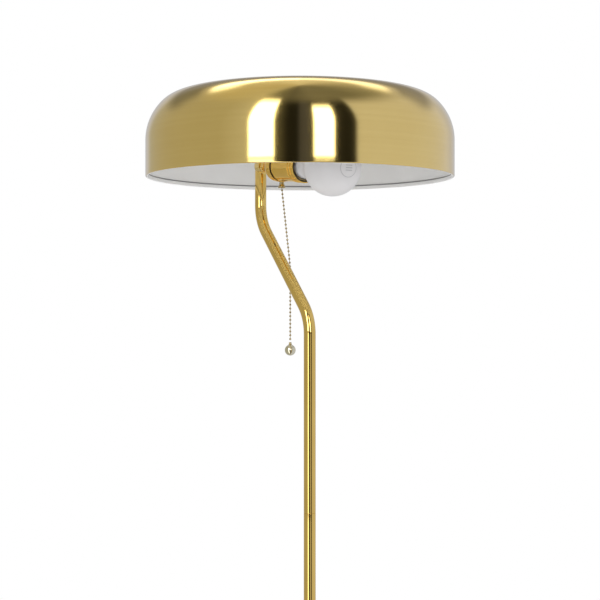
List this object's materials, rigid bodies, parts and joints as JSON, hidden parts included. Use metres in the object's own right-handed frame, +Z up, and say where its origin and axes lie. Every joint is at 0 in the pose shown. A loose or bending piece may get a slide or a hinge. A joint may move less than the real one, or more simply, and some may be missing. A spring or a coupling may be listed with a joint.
{
  "type": "pharmacy floor lamp",
  "caption": "Floor lamp with a round weighted base, a slim tube with a dogleg, a drum shade with a domed top, and a side-mounted pull-chain lampholder with a round bulb.",
  "frame": {"origin": "on the floor, on the axis of the lower tube and base", "axes": "+Z up along the tube, +X along the lampholder towards the bulb, the dogleg in the XZ plane"},
  "size_m": [0.33, 0.33, 1.5233],
  "materials": {
    "satin_brass": "satin brushed brass plate, lacquered",
    "polished_brass": "polished, lacquered",
    "chain_brass": "bright brass beads and ball",
    "white_enamel": "white baked enamel, semi-gloss",
    "zinc_steel": "zinc plated",
    "cast_iron": "rough casting, black primer",
    "pad_foam": "closed-cell foam, matt",
    "black_plastic": "moulded, matt",
    "liner_fibre": "dark varnished fibre",
    "phenolic": "moulded phenolic",
    "contact_brass": "bare brass",
    "spring_steel": "blued spring wire",
    "lead_sheath": "black flexible sheath",
    "live_insulation": "black core insulation",
    "neutral_insulation": "white core insulation",
    "frosted_glass": "white frosted inside",
    "clear_glass": "clear",
    "cap_nickel": "formed thin sheet",
    "cap_glass": "black vitrite glass",
    "solder": "dull solder",
    "tungsten": "drawn wire"
  },
  "bodies": {
    "stand": {"base_cover": "satin_brass", "foot_collar": "satin_brass", "lower_tube": "satin_brass", "middle_tube": "satin_brass", "upper_tube": "satin_brass", "shade_shell": "satin_brass", "tube_saddle": "polished_brass", "socket_cap": "polished_brass", "cap_set_screw": "polished_brass", "socket_shell": "polished_brass", "chain_bell": "polished_brass", "shade_bracket": "white_enamel", "base_nipple": "zinc_steel", "base_washer": "zinc_steel", "base_nut": "zinc_steel", "lower_coupling": "zinc_steel", "upper_coupling": "zinc_steel", "top_nipple": "zinc_steel", "shade_washer": "zinc_steel", "shade_nut": "zinc_steel", "socket_nipple": "zinc_steel", "body_screws": "zinc_steel", "switch_plate": "zinc_steel", "lever_pin": "zinc_steel", "base_weight": "cast_iron", "base_pad": "pad_foam", "inlet_bush": "black_plastic", "socket_liner": "liner_fibre", "socket_body": "phenolic", "screw_shell": "contact_brass", "centre_contact": "contact_brass", "terminal_screws": "contact_brass", "lever_spring": "spring_steel", "supply_lead": "lead_sheath", "live_core": "live_insulation", "neutral_core": "neutral_insulation"},
    "pull_chain": {"pull_chain": "chain_brass", "chain_ferrule": "chain_brass", "chain_ball": "chain_brass"},
    "pull_lever": {"pull_lever": "zinc_steel"},
    "switch_rotor": {"switch_rotor": "black_plastic"},
    "bulb": {"bulb_glass": "frosted_glass", "bulb_cap": "cap_nickel", "bulb_insulator": "cap_glass", "bulb_contact": "solder", "bulb_stem": "clear_glass", "bulb_filament": "tungsten"}
  },
  "joints": [
    {"name": "chain_pull", "type": "slide", "parent": "stand", "child": "pull_chain", "axis": [0, 0, -1], "range_m": [0, 0.01], "stiffness_N_per_m": 400, "springref_m": -0.01},
    {"name": "lever_swing", "type": "hinge", "parent": "stand", "child": "pull_lever", "pos_m": [-0.05634, -0.0092, 1.43741], "axis": [-0.9957, 0, 0.0924], "range_deg": [0, 60.2]},
    {"name": "rotor_index", "type": "hinge", "parent": "stand", "child": "switch_rotor", "pos_m": [-0.04842, 0, 1.4427], "axis": [0.9957, 0, -0.0924], "continuous": true},
    {"name": "bulb_unscrew", "type": "slide", "parent": "stand", "child": "bulb", "axis": [0.9957, 0, -0.0924], "range_m": [0, 0.028]}
  ],
  "couplings": [
    {"joint": "lever_swing", "follows": "chain_pull", "rad_per_m": 104.72}
  ]
}
